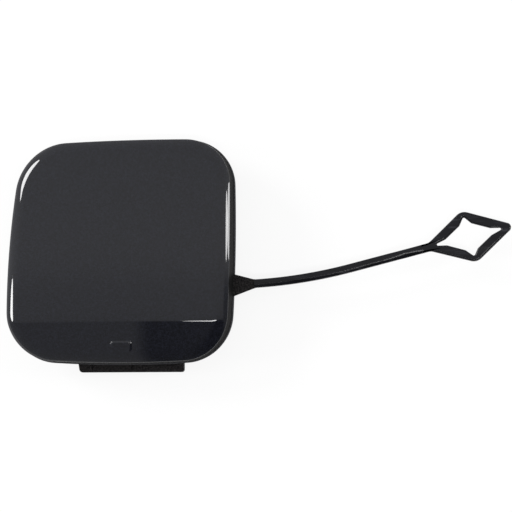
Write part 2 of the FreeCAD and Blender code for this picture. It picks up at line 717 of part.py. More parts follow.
    soften(body, "Fillet", "eye_corners", size.eye_corner, at_eye_corner)
    soften(body, "Fillet", "bar_ends", size.bar_round, at_bar_end)
    top = size.tether_lift + size.strap_wall

    def on_tether_edge(point):
        beyond = point.x > start[0].number + OVERRUN
        return beyond and (near(point.z, top.number) or near(point.z, size.tether_lift.number))

    soften(body, "Chamfer", "tether_edges", size.tether_edge, on_tether_edge)


def check_document():
    """Stops where a feature failed or a body's shape is missing or broken."""
    for thing in doc.Objects:
        failed = {"Invalid", "Error"} & set(thing.State)
        if failed:
            raise RuntimeError(f"{thing.Name} is {', '.join(failed)}")
    for body in doc.findObjects("PartDesign::Body"):
        if body.Shape.isNull() or not body.Shape.isValid():
            raise RuntimeError(f"{body.Name} has no valid shape")


hollow = make_hollow()
mark = make_mark()
cover = new_body("tow_eye_cover")
add_panel(cover, hollow, mark)
add_catches(cover)
add_tongue(cover)
add_tether(cover)
doc.recompute()
check_document()
if len(cover.Shape.Solids) != 1:
    raise RuntimeError("the cover is one moulding and must be one solid")
os.makedirs("parts", exist_ok=True)
cover.Shape.exportStep(f"parts/{cover.Label}.step")
box = cover.Shape.BoundBox
print(f"{cover.Label}: {box.XLength:.1f} x {box.YLength:.1f} x {box.ZLength:.1f} mm")
print(f"volume {cover.Shape.Volume:.0f} mm3")
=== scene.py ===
"""Looks of a tow eye cover for a car bumper: a painted panel with a tongue, snap hooks and a tether.

The cover is one moulding in black plastic. Its face is sprayed with dark metallic paint and a clear coat,
and everything else is left bare. It lies face up on a pale bench, on the tips of its hooks. Lengths are
worked out in millimetres and written into the meshes in metres.
"""

import bpy
import numpy as np
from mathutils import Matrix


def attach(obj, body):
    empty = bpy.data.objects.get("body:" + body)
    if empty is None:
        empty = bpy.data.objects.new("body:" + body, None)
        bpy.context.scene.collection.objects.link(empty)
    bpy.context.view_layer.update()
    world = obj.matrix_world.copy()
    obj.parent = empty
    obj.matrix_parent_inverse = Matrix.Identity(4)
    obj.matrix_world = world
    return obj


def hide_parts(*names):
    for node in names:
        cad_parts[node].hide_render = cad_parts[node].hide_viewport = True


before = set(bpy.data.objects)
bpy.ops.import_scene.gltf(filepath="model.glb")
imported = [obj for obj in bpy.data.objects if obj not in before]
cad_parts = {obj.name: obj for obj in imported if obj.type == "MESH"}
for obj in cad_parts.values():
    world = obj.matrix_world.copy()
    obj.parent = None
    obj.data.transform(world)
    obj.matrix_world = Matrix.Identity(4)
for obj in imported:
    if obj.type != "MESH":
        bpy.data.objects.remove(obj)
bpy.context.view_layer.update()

# The paint on the panel: dark grey metallic base under a clear coat, sprayed over the crowned face, the
# rolled edge and the skirt, and masked at the lip. Here it is a thin closed skin over the moulding.
MM = 0.001
# Right, top, left and bottom side: furthest point from the centre, radius of the bow, and how far the
# furthest point lies up or to the right of the centre.
SIDES = np.array([(40.4, 620.0, 9.6), (39.3, 1030.0, 10.7), (40.4, 406.0, -28.2), (39.2, 394.0, 1.5)])
# Upper right, upper left, lower left and lower right corner.
CORNER_RADII = np.array([16.3, 19.2, 17.2, 17.1])
CROWN_HEIGHT = 13.0
CROWN_RADIUS = 320.0
CREASE_BELOW = 24.5
CREASE_TURN = np.radians(8.0)
CREASE_RADIUS = 6.0
BAND_RADIUS = 250.0
# The face starts to fall away this far inside the outline, on the soft radius, and meets the skirt in a
# tight corner.
SOFT_START = 5.1
SOFT_RADIUS = 8.0
TIGHT_RADIUS = 0.35
DRAFT = np.radians(1.5)
LIP_TOP = 1.2
PAINT_DEPTH = 0.3
PAINT_DIP = 0.1
# Rows of points up the skirt, round the tight corner and over the soft edge.
SKIRT_ROWS, CORNER_ROWS, SLOPE_ROWS = 7, 12, 21
TOUCH_TRIES = 40
PAINT_TONES = [(0.0, (0.0010, 0.0012, 0.0031)), (0.55, (0.0062, 0.0071, 0.0124))]


def outline_arcs():
    """The outline as eight arcs, counter-clockwise from the right side: centres, radii and joint angles.

    A side's circle has its centre on the far side of the panel. A corner's circle touches its two
    neighbours from inside, so its centre lies on two circles whose radii are theirs less its own.
    """
    reach, bow, crest = SIDES.T
    depth = reach - bow
    sides = np.array([
        (depth[0], crest[0]), (crest[1], depth[1]), (-depth[2], crest[2]), (crest[3], -depth[3]),
    ])
    from_here, from_following = bow - CORNER_RADII, np.roll(bow, -1) - CORNER_RADII
    gap = np.roll(sides, -1, axis=0) - sides
    apart = np.hypot(*gap.T)
    along = (from_here**2 - from_following**2 + apart**2) / (2 * apart)
    aside = np.sqrt(from_here**2 - along**2)
    ahead = gap / apart[:, None]
    foot = sides + ahead * along[:, None]
    across = ahead[:, ::-1] * (-1, 1) * aside[:, None]
    nearer = np.hypot(*(foot + across).T) < np.hypot(*(foot - across).T)
    corners = np.where(nearer[:, None], foot + across, foot - across)
    spokes = np.stack([np.roll(corners, 1, axis=0), corners], axis=1) - sides[:, None]
    turned = np.arctan2(spokes[..., 1], spokes[..., 0]).ravel()
    joints = np.unwrap(np.append(turned, turned[0]))
    centres = np.stack([sides, corners], axis=1).reshape(-1, 2)
    radii = np.stack([bow, CORNER_RADII], axis=1).ravel()
    return centres, radii, joints


ARC_CENTRES, ARC_RADII, ARC_JOINTS = outline_arcs()
ARC_STATIONS = np.append(0.0, np.cumsum(ARC_RADII * np.diff(ARC_JOINTS)))
GIRTH = ARC_STATIONS[-1]


def outline(station, inset=0.0):
    """Points of the outline moved inwards, and the outward unit directions there.

    A station is a distance along the outline. It falls on one arc, and there the point is the centre plus
    the radius less the inset, in the direction that the distance has turned to.
    """
    station = np.asarray(station) % GIRTH
    arc = np.searchsorted(ARC_STATIONS, station, side="right") - 1
    turned = ARC_JOINTS[arc] + (station - ARC_STATIONS[arc]) / ARC_RADII[arc]
    outward = np.stack([np.cos(turned), np.sin(turned)], axis=-1)
    return ARC_CENTRES[arc] + outward * (ARC_RADII[arc] - inset)[..., None], outward


def crown(x, y, depth=0.0):
    """Height and unit normal of the face, or of the same face moved into the panel by a depth.

    The upright middle line is three arcs that run into each other: the crown, the crease and the lower
    band. It turns about a level axis under it, parallel to Y, so a point's distance from that axis is
    the middle line's height above it at the same y.
    """
    lean = np.arcsin(CREASE_BELOW / CROWN_RADIUS)
    turned = lean + CREASE_TURN
    axis = CROWN_HEIGHT - CROWN_RADIUS
    crease = np.array([-np.sin(lean), np.cos(lean)]) * (CROWN_RADIUS - CREASE_RADIUS) + (0, axis)
    band = crease + np.array([np.sin(turned), -np.cos(turned)]) * (BAND_RADIUS - CREASE_RADIUS)
    centres = np.array([(0, axis), crease, band])
    crease_start = crease[0] - (CREASE_RADIUS - depth) * np.sin(lean)
    crease_end = crease[0] - (CREASE_RADIUS - depth) * np.sin(turned)
    part = np.where(y > crease_start, 0, np.where(y > crease_end, 1, 2))
    radius = np.array([CROWN_RADIUS, CREASE_RADIUS, BAND_RADIUS])[part] - depth
    along = (y - centres[part, 0]) / radius
    upward = np.sqrt(1 - along**2)
    from_axis = centres[part, 1] + radius * upward - axis
    height = np.sqrt(from_axis**2 - x**2)
    normal = np.stack([upward * x / from_axis, along + 0 * x, upward * height / from_axis], axis=-1)
    return axis + height, normal


def lifted(plan, height):
    """Points or directions in the plan, with their heights as a third part."""
    height = np.broadcast_to(height, plan.shape[:-1])
    return np.concatenate([plan, height[..., None]], axis=-1)


def unit(directions):
    """Directions divided by their lengths."""
    return directions / np.linalg.norm(directions, axis=-1, keepdims=True)


def soft_fall(past):
    """How far the soft edge has fallen at a distance past its start, and its slope there.

    The fall is the sagitta of the soft radius at that distance.
    """
    past = np.maximum(past, 0.0)
    upright = np.sqrt(SOFT_RADIUS**2 - past**2)
    return SOFT_RADIUS - upright, past / upright


def rolled_edge(station, inset, soft):
    """Points and normals of the face at distances in from the outline, with its edge falling away.

    Nearer to the outline than the soft edge's start, the crown is lowered by the fall, and its normal
    leans outwards by the fall's slope.
    """
    plan, outward = outline(station, inset)
    height, normal = crown(plan[..., 0], plan[..., 1])
    fall, slope = soft_fall(soft - inset)
    lean = normal[..., :2] / normal[..., 2:] + outward * slope[..., None]
    return lifted(plan, height - fall), unit(lifted(lean, 1.0))


def rolled_wall(station, low, soft=SOFT_START, tight=TIGHT_RADIUS):
    """Rows of points and normals up the skirt from a height, round the tight corner and over the soft edge.

    The tight corner is the track of a ball that touches skirt and soft edge from inside. The ball touches
    the soft edge where its centre, one radius inside that edge, is also one radius inside the skirt, and
    trying again from the last place finds it. The corner's rows turn evenly from the skirt's normal to
    the soft edge's.
    """
    skirt_normal = lifted(outline(station)[1] * np.cos(DRAFT), np.sin(DRAFT))
    touch = np.full(len(station), tight)
    for _ in range(TOUCH_TRIES):
        edge, edge_normal = rolled_edge(station, touch, soft)
        ball = edge - tight * edge_normal
        outwards = (skirt_normal[:, :2] * edge_normal[:, :2]).sum(axis=1) / np.cos(DRAFT)
        touch = ball[:, 2] * np.tan(DRAFT) + tight / np.cos(DRAFT) - tight * outwards
    angle = np.arccos((skirt_normal * edge_normal).sum(axis=1))[:, None]
    share = np.linspace(0, 1, CORNER_ROWS, endpoint=False)[:, None, None]
    corner = np.sin((1 - share) * angle) * skirt_normal + np.sin(share * angle) * edge_normal
    corner /= np.sin(angle)
    rounded = ball + tight * corner
    inset = touch + np.linspace(0, 1, SLOPE_ROWS)[:, None] * (SOFT_START - touch)
    slope, slope_normal = rolled_edge(station, inset, soft)
    height = low + np.linspace(0, 1, SKIRT_ROWS, endpoint=False)[:, None] * (rounded[0, :, 2] - low)
    skirt = lifted(outline(station, height * np.tan(DRAFT))[0], height)
    return (
        np.concatenate([skirt, rounded, slope]),
        np.concatenate([np.broadcast_to(skirt_normal, skirt.shape), corner, slope_normal]),
    )


# Rows across the face, close together where they cross the crease.
ROWS = np.concatenate([np.linspace(*stretch, endpoint=False) for stretch in (
    (-30.3, -27.0, 8), (-27.0, -25.4, 6), (-25.4, -24.4, 10), (-24.4, -23.0, 5),
)] + [np.linspace(-23.0, 30.2, 80)])
COLUMNS = 90
# Below this row the rows bend towards the corners at the bottom.
LOW_BEND = -26.5


def face_stations():
    """Stations round the outline that put the face's edge at the same rows on the left and the right.

    They run up the right side, along the top to the left, down the left side and back along the bottom.
    """
    steps = 8000
    fine = np.linspace(0, GIRTH, steps + 1)
    edge = rolled_wall(fine, 0.0)[0][-1, :, 1]
    top, bottom = edge.argmax(), edge.argmin()
    upward = np.roll(np.arange(steps), -bottom)
    unrolled = np.where(upward < bottom, fine[upward] + GIRTH, fine[upward])
    peak = (top - bottom) % steps
    right = np.interp(ROWS, edge[upward[:peak]], unrolled[:peak])
    left = np.interp(-ROWS, -edge[upward[peak:]], unrolled[peak:])[::-1]
    along_top = np.linspace(right[-1], left[0], COLUMNS)
    along_bottom = np.linspace(left[-1], right[0] + GIRTH, COLUMNS)
    return np.concatenate([right[:-1], along_top[:-1], left[:-1], along_bottom[:-1]])


STATIONS = face_stations()


def ring_sides(ring):
    """Right, top, left and bottom of what lies along the stations, each read upwards or to the right."""
    ring = np.append(ring, ring[:1], axis=0)
    ends = np.cumsum([0, len(ROWS) - 1, COLUMNS - 1, len(ROWS) - 1, COLUMNS - 1])
    right, top, left, bottom = (ring[start : end + 1] for start, end in zip(ends, ends[1:]))
    return right, top[::-1], left[::-1], bottom


def face_grid(ring):
    """Plan positions of a grid that fills the face inside a ring of points at the stations.

    Rows are level lines. Near the top and the bottom they bend by the ring's own rise over its corner
    rows, in proportion. Along a row a point keeps the share of its width that it has on the ring,
    blended from the bottom's to the top's.
    """
    right, top, left, bottom = (side[:, :2] for side in ring_sides(ring))
    shares, bends = [], []
    for side in (bottom, top):
        shares.append((side[:, 0] - side[0, 0]) / np.ptp(side[[0, -1], 0]))
        bends.append(side[:, 1] - (side[0, 1] + shares[-1] * (side[-1, 1] - side[0, 1])))
    upto = ((ROWS - ROWS[0]) / np.ptp(ROWS))[:, None]
    share = (1 - upto) * shares[0] + upto * shares[1]
    plan = left[:, None] + share[..., None] * (right - left)[:, None]
    low = np.clip((ROWS - LOW_BEND) / (ROWS[0] - LOW_BEND), 0, 1)[:, None]
    high = np.clip(ROWS / ROWS[-1], 0, 1)[:, None]
    plan[..., 1] += low * bends[0] + high * bends[1]
    return plan


def ring_numbers(first):
    """Numbers of the ring's vertices round a grid of rows and columns, when the ring starts at a number."""
    grid = np.zeros((len(ROWS), COLUMNS), int)
    grid[:, -1], grid[-1], grid[:, 0], grid[0] = ring_sides(first + np.arange(len(STATIONS)))
    return grid


def quads(numbers):
    """Faces between neighbours in a grid of vertex numbers."""
    low, high = numbers[:-1], numbers[1:]
    return np.stack([low[:, :-1], low[:, 1:], high[:, 1:], high[:, :-1]], axis=-1).reshape(-1, 4)


def round_quads(rows, columns):
    """Faces of rows of vertices that close on themselves."""
    numbers = np.arange(rows * columns).reshape(rows, columns)
    return quads(np.append(numbers, numbers[:, :1], axis=1))


def volume_under(points, faces):
    """Six times the signed volume between faces and the origin, from the triple products of corners."""
    corners = points[faces]
    first, second, third, last = (corners[:, i] for i in (0, 1, 2, -1))
    return (first * (np.cross(second, third) + np.cross(third, last))).sum()


def add_object(name, data):
    """A new object in the scene that shows a mesh, a lamp or a camera."""
    thing = bpy.data.objects.new(name, data)
    bpy.context.scene.collection.objects.link(thing)
    return thing


def add_piece(name, points, normals, faces, finish):
    """Writes a mesh in metres with its exact normals, and lets it stand for the moulding.

    Faces come as arrays of vertex numbers that all turn the same way. If the volume that they enclose is
    negative they face inwards, and are all turned round. A finish is a material with its slot's name, and
    the slot's name is not used.
    """
    material, slot_name = finish
    turn = 1 if sum(volume_under(points, kind) for kind in faces) > 0 else -1
    lists = [face for kind in faces for face in kind[:, ::turn].tolist()]
    mesh = bpy.data.meshes.new(name)
    mesh.from_pydata((points * MM).tolist(), [], lists)
    mesh.polygons.foreach_set("use_smooth", np.ones(len(lists), bool))
    mesh.normals_split_custom_set_from_vertices(normals.tolist())
    mesh.materials.append(material)
    piece = add_object(name, mesh)
    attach(piece, "root")
    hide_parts("tow_eye_cover")


def add_walled_face(name, rows, row_normals, depths, sides, finish):
    """A closed piece from rings round the panel, with a face grid inside its first and its last ring.

    Each grid lies at its depth under the painted surface, and looks up or down as its side says.
    """
    rings, count = rows.shape[:2]
    used = rings * count
    points, normals = [rows.reshape(-1, 3)], [row_normals.reshape(-1, 3)]
    faces = [round_quads(rings, count)]
    for first, ring, turn, depth, side in zip((0, used - count), rows[[0, -1]], (-1, 1), depths, sides):
        plan = face_grid(ring)[1:-1, 1:-1]
        height, normal = crown(plan[..., 0], plan[..., 1], depth)
        numbers = ring_numbers(first)
        numbers[1:-1, 1:-1] = used + np.arange(height.size).reshape(height.shape)
        used += height.size
        points.append(lifted(plan, height).reshape(-1, 3))
        normals.append(side * normal.reshape(-1, 3))
        faces.append(quads(numbers)[:, ::turn])
    points, normals, faces = (np.concatenate(values) for values in (points, normals, faces))
    add_piece(name, points, normals, [faces], finish)


def add_ring(name, rows, row_normals, finish):
    """A closed ring from rows round the panel that close on themselves, the last running into the first."""
    count, columns = rows.shape[:2]
    numbers = np.pad(np.arange(count * columns).reshape(count, columns), (0, 1), mode="wrap")
    add_piece(name, rows.reshape(-1, 3), row_normals.reshape(-1, 3), [quads(numbers)], finish)


def start_finish(name):
    """A new material, its node tree, and the shader that it ends in."""
    material = bpy.data.materials.new(name)
    material.use_nodes = True
    return material, material.node_tree, material.node_tree.nodes["Principled BSDF"]


def set_inputs(tree, node, *values, **named):
    """Sets a node's inputs in their order, or by name with _ for a space.

    An output is linked to its input, and any other value is written there.
    """
    sockets = [*node.inputs[: len(values)], *(node.inputs[name.replace("_", " ")] for name in named)]
    for socket, value in zip(sockets, [*values, *named.values()]):
        if isinstance(value, bpy.types.NodeSocket):
            tree.links.new(value, socket)
        else:
            socket.default_value = value


def add_node(tree, kind, *values, **named):
    """The outputs of a new shader node with its inputs set."""
    node = tree.nodes.new("ShaderNode" + kind)
    set_inputs(tree, node, *values, **named)
    return node.outputs


def add_math(tree, operation, first, second):
    """The result of a sum with two values, each an output or a number."""
    node = tree.nodes.new("ShaderNodeMath")
    node.operation = operation
    set_inputs(tree, node, first, second)
    return node.outputs["Value"]


def add_noise(tree, place, scale, detail):
    """Soft uneven levels, with a scale of so many patches to the metre."""
    return add_node(tree, "TexNoise", Vector=place, Scale=scale, Detail=detail)["Fac"]


def add_relief(tree, levels, strength, depth, **under):
    """Normals of a relief from its levels, so many metres deep, on top of another relief's if given."""
    relief = add_node(tree, "Bump", Height=levels, Strength=strength, Distance=depth, **under)
    return relief["Normal"]


def add_tones(tree, share, stops, interpolation="LINEAR"):
    """Colours by a share, blended from stop to stop. The stops are shares in rising order with colours."""
    node = tree.nodes.new("ShaderNodeValToRGB")
    tree.links.new(share, node.inputs["Fac"])
    node.color_ramp.interpolation = interpolation
    for _ in stops[2:]:
        node.color_ramp.elements.new(1.0)
    for element, (place, colour) in zip(node.color_ramp.elements, stops):
        element.position = place
        element.color = (*colour, 1)
    return node.outputs["Color"]


def painted_finish():
    """Dark grey metallic paint: flakes that differ in tone and tilt, under a coat with orange peel."""
    material, tree, shader = start_finish("graphite_metallic_paint")
    place = add_node(tree, "TexCoord")["Object"]
    cells = add_node(tree, "TexVoronoi", Vector=place, Scale=2700.0)["Color"]
    flakes = add_node(tree, "SeparateColor", Color=cells)
    clouds = add_noise(tree, place, 900.0, 3.0)
    tone = add_math(tree, "MULTIPLY", flakes["Red"], clouds)
    peel = add_noise(tree, place, 420.0, 1.0)
    set_inputs(
        tree, shader,
        Base_Color=add_tones(tree, tone, PAINT_TONES),
        Normal=add_relief(tree, flakes["Green"], 0.25, 0.00002),
        Coat_Normal=add_relief(tree, peel, 0.12, 0.00002),
        Roughness=0.42,
        Specular_IOR_Level=0.01,
        Coat_Weight=1.0,
        Coat_Roughness=0.03,
        Coat_IOR=1.5,
    )
    return material, "painted_plastic"


PAINT = painted_finish()
# Rows and normals of the paint's outer surface upwards, and of its underside downwards.
outer = np.stack(rolled_wall(STATIONS, LIP_TOP - PAINT_DIP))
under = np.stack([outer[0] - PAINT_DEPTH * outer[1], -outer[1]])[:, ::-1]
add_walled_face(
    "painted_face", *np.concatenate([under[:, :-SKIRT_ROWS], outer[:, SKIRT_ROWS:]], axis=1),
    (PAINT_DEPTH, 0.0), (-1, 1), PAINT,
)

# The skirt under the rolled edge. The spray reaches it only at a glance, so the paint there is thin and
# dry and has no clear coat.
OVERSPRAY = (0.0035, 0.0034, 0.0036), (0.013, 0.0127, 0.0128)


def spray_and_highlight_finish(name, thin, thick):
    """Dull grey with a fine speckle between two tones: dry overspray on the skirt, painted highlight on the
    lip.
    """
    material, tree, shader = start_finish(name)
    dust = add_noise(tree, add_node(tree, "TexCoord")["Object"], 2600.0, 4.0)
    set_inputs(
        tree, shader,
        Base_Color=add_tones(tree, dust, [(0.35, thin), (0.7, thick)]),
        Normal=add_relief(tree, dust, 0.4, 0.00004),
        Roughness=0.65,
        Specular_IOR_Level=0.04,
    )
    return material, "painted_plastic"


add_ring(
    "painted_skirt",
    *np.concatenate([outer[:, : SKIRT_ROWS + 1], under[:, -SKIRT_ROWS - 1 :]], axis=1),
    spray_and_highlight_finish("dry_overspray", *OVERSPRAY),
)

# The bare moulding behind the paint: black plastic with a fine spark-eroded grain, and a lip at the foot
# of the skirt that seats on the bumper. Its edges are broken by the tool's small radii.
SHELL_WALL = 2.2
LIP_REACH = 0.35
EDGE = 0.15
# The ledge on top of the lip, from under the paint to the lip's edge, is measured out from the outline.
LEDGE_START, LEDGE_MIDDLE = -0.12, 0.05
# The inner wall's corner under the rolled edge is this much rounder than the wall is thick.
INNER_ROUNDING = 1.2
BARE_TONES = [(0.43, (0.0016, 0.0012, 0.0014)), (0.66, (0.0215, 0.0190, 0.0195))]


def bare_finish():
    """Black plastic with a fine grain from the tool and slightly uneven gloss."""
    material, tree, shader = start_finish("bare_black_plastic")
    place = add_node(tree, "TexCoord")["Object"]
    grain = add_noise(tree, place, 1900.0, 2.0)
    patches = add_noise(tree, place, 160.0, 4.0)
    set_inputs(
        tree, shader,
        Base_Color=add_tones(tree, grain, BARE_TONES),
        Normal=add_relief(tree, grain, 0.8, 0.00022),
        Roughness=add_node(tree, "MapRange", patches, To_Min=0.46, To_Max=0.62)["Result"],
        Specular_IOR_Level=0.12,
    )
    return material, "bare_plastic"


def turned_corner(centre, radius, start, end, steps=4):
    """Rows of a wall's profile round a small radius: distance out, height and angle of the normal."""
    angle = np.radians(np.linspace(start, end, steps + 1))
    return np.column_stack([centre[0] + radius * np.cos(angle), centre[1] + radius * np.sin(angle), angle])


def lip_rows(profile):
    """Rows of points and normals round the panel, one for each row of a profile.

    A row is the outline moved out by the profile's first number, at the height of its second.
    """
    out, height, angle = profile.T[..., None]
    plan, outward = outline(STATIONS, -out)
    return lifted(plan, height), lifted(outward * np.cos(angle)[..., None], np.sin(angle))


BARE = bare_finish()
body_rows, body_normals = rolled_wall(STATIONS, LIP_TOP)
# From the ledge on top of the lip, round the lip and the rim, to the inner wall's foot.
lip_points, lip_normals = lip_rows(np.concatenate([
    [(LEDGE_START, LIP_TOP, np.pi / 2), (LEDGE_MIDDLE, LIP_TOP, np.pi / 2)],
    turned_corner((LIP_REACH - EDGE, LIP_TOP - EDGE), EDGE, 90, 0),
    turned_corner((LIP_REACH - EDGE, EDGE), EDGE, 0, -90),
    turned_corner((EDGE - SHELL_WALL, EDGE), EDGE, -90, -180),
]))
hidden_rows = (body_rows - 0.5 * PAINT_DEPTH * body_normals)[::-1]
inner_rows, inner_normals = rolled_wall(STATIONS, 2 * EDGE, 0.0, SHELL_WALL + INNER_ROUNDING)
add_walled_face(
    "moulded_shell",
    np.concatenate([hidden_rows, lip_points, inner_rows - SHELL_WALL * inner_normals]),
    np.concatenate([body_normals[::-1], lip_normals, -inner_normals]),
    (0.5 * PAINT_DEPTH, SHELL_WALL), (1, -1), BARE,
)

# The lip's lighter grey: a thin coat on the ledge and the lip's upper edge, a lighter grey all round. It is
# a painted highlight, the light that the lip catches.
LIP_COAT = 0.03
# Tones of the lip's lighter grey, which is a painted highlight.
LIP_HIGHLIGHT_TONES = (0.030, 0.030, 0.033), (0.068, 0.068, 0.073)
highlight_profile = np.concatenate([
    [(LEDGE_START, LIP_TOP + LIP_COAT, np.pi / 2)],
    turned_corner((LIP_REACH - EDGE, LIP_TOP - EDGE), EDGE + LIP_COAT, 90, 0),
])
angle = highlight_profile[:, 2]
highlight_under = highlight_profile - 2 * LIP_COAT * np.column_stack([np.cos(angle), np.sin(angle), 0 * angle])
highlight_rows = lip_rows(np.concatenate([highlight_profile, (highlight_under + (0, 0, np.pi))[::-1]]))
add_ring("lip_painted_highlight", *highlight_rows, spray_and_highlight_finish("lip_painted_highlight_grey", *LIP_HIGHLIGHT_TONES))

# The press mark: a small wedge on the lower band that shows where to push the cover out. It rises from
# the band to a step at its upper edge, is moulded with the face and painted over, so its edges are soft.
MARK_MIDDLE = np.array([1.95, -33.4])
MARK_HALF = np.array([3.55, 1.55])
MARK_CORNER = 0.8
MARK_SOFT = 0.8
# The wedge's rise over the band at its lower and at its upper side.
MARK_FOOT, MARK_RISE = 0.06, 0.5
# How far its skirt goes down into the paint, and how far its rim is sunk to leave no gap.
MARK_ROOT, MARK_SUNK = 0.2, 0.004


def rounded_corners(corners, radii, steps, between):
    """A closed outline through corners with a radius each: points and outward directions.

    The corners run counter-clockwise. At a corner the outline follows an arc that touches both sides, and
    its direction turns evenly along the arc. A bend inwards turns the other way and bulges in.
    """
    corners = np.asarray(corners, float)
    radii = np.broadcast_to(radii, len(corners))[:, None]
    ahead = unit(np.roll(corners, -1, axis=0) - corners)
    behind = np.roll(ahead, 1, axis=0)
    turn = np.arctan2(behind[:, 0] * ahead[:, 1] - behind[:, 1] * ahead[:, 0], (behind * ahead).sum(axis=1))
    heading = np.arctan2(behind[:, 1], behind[:, 0])
    start = corners - behind * radii * np.tan(np.abs(turn) / 2)[:, None]
    bend = np.sign(turn)[:, None] * radii
    centre = start + bend * behind[:, ::-1] * (-1, 1)
    direction = heading[:, None] + turn[:, None] * np.linspace(0, 1, steps + 1)
    outward = np.stack([np.sin(direction), -np.cos(direction)], axis=-1)
    arcs = centre[:, None] + bend[:, None] * outward
    gaps = np.roll(arcs[:, 0], -1, axis=0) - arcs[:, -1]
    share = np.linspace(0, 1, between + 1)[1:-1, None]
    straights = arcs[:, -1:] + share * gaps[:, None]
    points = np.concatenate([arcs, straights], axis=1).reshape(-1, 2)
    held = np.broadcast_to(outward[:, -1:], straights.shape)
    return points, np.concatenate([outward, held], axis=1).reshape(-1, 2)


def pole_faces(rows, columns):
    """Triangles that close the first and the last row on two poles numbered after the rows."""
    first = np.arange(columns)
    last = first + (rows - 1) * columns
    pole = np.full(columns, rows * columns)
    low = np.stack([pole, np.roll(first, -1), first], axis=1)
    high = np.stack([pole + 1, last, np.roll(last, -1)], axis=1)
    return np.concatenate([low, high])


def add_closed_rows(name, rows, row_normals, pole_normals, finish, poles=None):
    """A closed piece from rows of points that close on themselves, and a pole at either end.

    Where no poles are given, they are the middles of the first and the last row.
    """
    poles = rows[[0, -1]].mean(axis=1) if poles is None else poles
    points = np.concatenate([rows.reshape(-1, 3), poles])
    normals = np.concatenate([row_normals.reshape(-1, 3), pole_normals])
    faces = [round_quads(*rows.shape[:2]), pole_faces(*rows.shape[:2])]
    add_piece(name, points, normals, faces, finish)


def add_press_mark():
    """Rings of the wedge's outline follow the face, lifted by a smooth step times the climb up the wedge.

    Its lower side lies where the soft edge begins, so there the rings sink with it. The normal leans out
    with the step's slope, and down the wedge with the climb's.
    """
    square = np.array([(-1, -1), (1, -1), (1, 1), (-1, 1)])
    plan, outward = rounded_corners(MARK_MIDDLE + square * MARK_HALF, MARK_CORNER, steps=12, between=16)
    slope = np.append(0.0, np.linspace(0, 1, 13))
    rings = plan + outward * (MARK_SOFT * (0.5 - slope))[:, None, None]
    shrink = np.linspace(1, 0, 7)[1:-1, None, None]
    share = np.append(slope, np.ones(len(shrink)))[:, None]
    plans = np.concatenate([rings, MARK_MIDDLE + shrink * (rings[-1] - MARK_MIDDLE)])
    step = share**2 * (3 - 2 * share)
    climb = (plans[..., 1] - MARK_MIDDLE[1]) / (2 * MARK_HALF[1]) + 0.5
    climb = MARK_FOOT + (MARK_RISE - MARK_FOOT) * np.clip(climb, 0, 1)
    lift = climb * step - MARK_SUNK
    lift[0] = -MARK_ROOT
    height, normals = crown(plans[..., 0], plans[..., 1], -lift)
    fall, down = soft_fall(SOFT_START - SIDES[3, 0] - plans[..., 1])
    down = down + (MARK_RISE - MARK_FOOT) * step / (2 * MARK_HALF[1])
    flat = lifted(outward, 0.0)
    normals = normals + (climb * 6 * share * (1 - share) / MARK_SOFT)[..., None] * flat
    normals[..., 1] -= down
    normals[0] = flat
    middle = np.tile(MARK_MIDDLE, (2, 1))
    ends = np.array([-MARK_ROOT, (MARK_FOOT + MARK_RISE) / 2 - MARK_SUNK])
    level, up = crown(*middle.T, -ends)
    up[1, 1] -= down[-1, 0]
    add_closed_rows(
        "press_mark", lifted(plans, height - fall), unit(normals),
        unit(up) * [[-1], [1]], PAINT, lifted(middle, level),
    )


add_press_mark()

# The stiffening ribs: four thin walls that cross on the back of the panel, with draft for the mould and
# a small radius where they grow out of the wall.
RIB_HALF = 0.52
RIB_DRAFT = 0.02
RIB_FOOT = 7.0
RIB_REACH = 37.6
RIB_PITCH = {"upright": 24.0, "level": 22.0}
ROOT_RADIUS = 0.6
# How much narrower the rib is at its rounded foot, in its first two rows.
FOOT_ROUNDING = (0.2, 0.06)


def add_rib(name, offset, upright):
    """A wall's section carried across the panel, from its rounded foot to a flared root in the skin.

    The section's half width grows with the draft, and near the back of the panel by a quarter circle's
    sagitta. Its height at each place is a share of the way from the foot to the wall's back there. An
    upright rib is a level one with its first two axes exchanged.
    """
    swap = slice(None, None, -1 if upright else 1)
    reach = np.linspace(-RIB_REACH, RIB_REACH, 79)
    back = crown(*[reach, offset + 0 * reach][swap], SHELL_WALL)[0][:, None]
    climb = np.concatenate([[0.0, 0.06, 0.15], np.linspace(0.3, 1, 10)])
    z = RIB_FOOT + climb * (back - RIB_FOOT - ROOT_RADIUS)
    half = RIB_HALF + RIB_DRAFT * (z - RIB_FOOT)
    half[:, :2] -= FOOT_ROUNDING
    bend = np.linspace(0, np.pi / 2, 7)[1:]
    flare = half[:, -1:] + ROOT_RADIUS * (1 - np.cos(bend))
    z = np.concatenate([z, back - ROOT_RADIUS * (1 - np.sin(bend)), back + 1.0], axis=1)
    half = np.concatenate([half, flare, flare[:, -1:]], axis=1)
    z = np.concatenate([z, z[:, ::-1]], axis=1)
    across = offset + np.concatenate([half, -half[:, ::-1]], axis=1)
    along = np.broadcast_to(reach[:, None], z.shape)
    rows = np.stack([*[along, across][swap], z], axis=-1)
    forward = np.array([*[1.0, 0.0][swap], 0.0])
    normals = np.cross(np.roll(rows, -1, axis=1) - np.roll(rows, 1, axis=1), forward)
    from_middle = rows - rows.mean(axis=1, keepdims=True)
    normals = unit(normals * np.sign((from_middle * normals).sum(axis=(1, 2), keepdims=True)))
    add_closed_rows(name, rows, normals, np.array([-forward, forward]), BARE)


for direction, pitch in RIB_PITCH.items():
    add_rib(f"{direction}_rib_1", -pitch / 2, direction == "upright")
    add_rib(f"{direction}_rib_2", pitch / 2, direction == "upright")

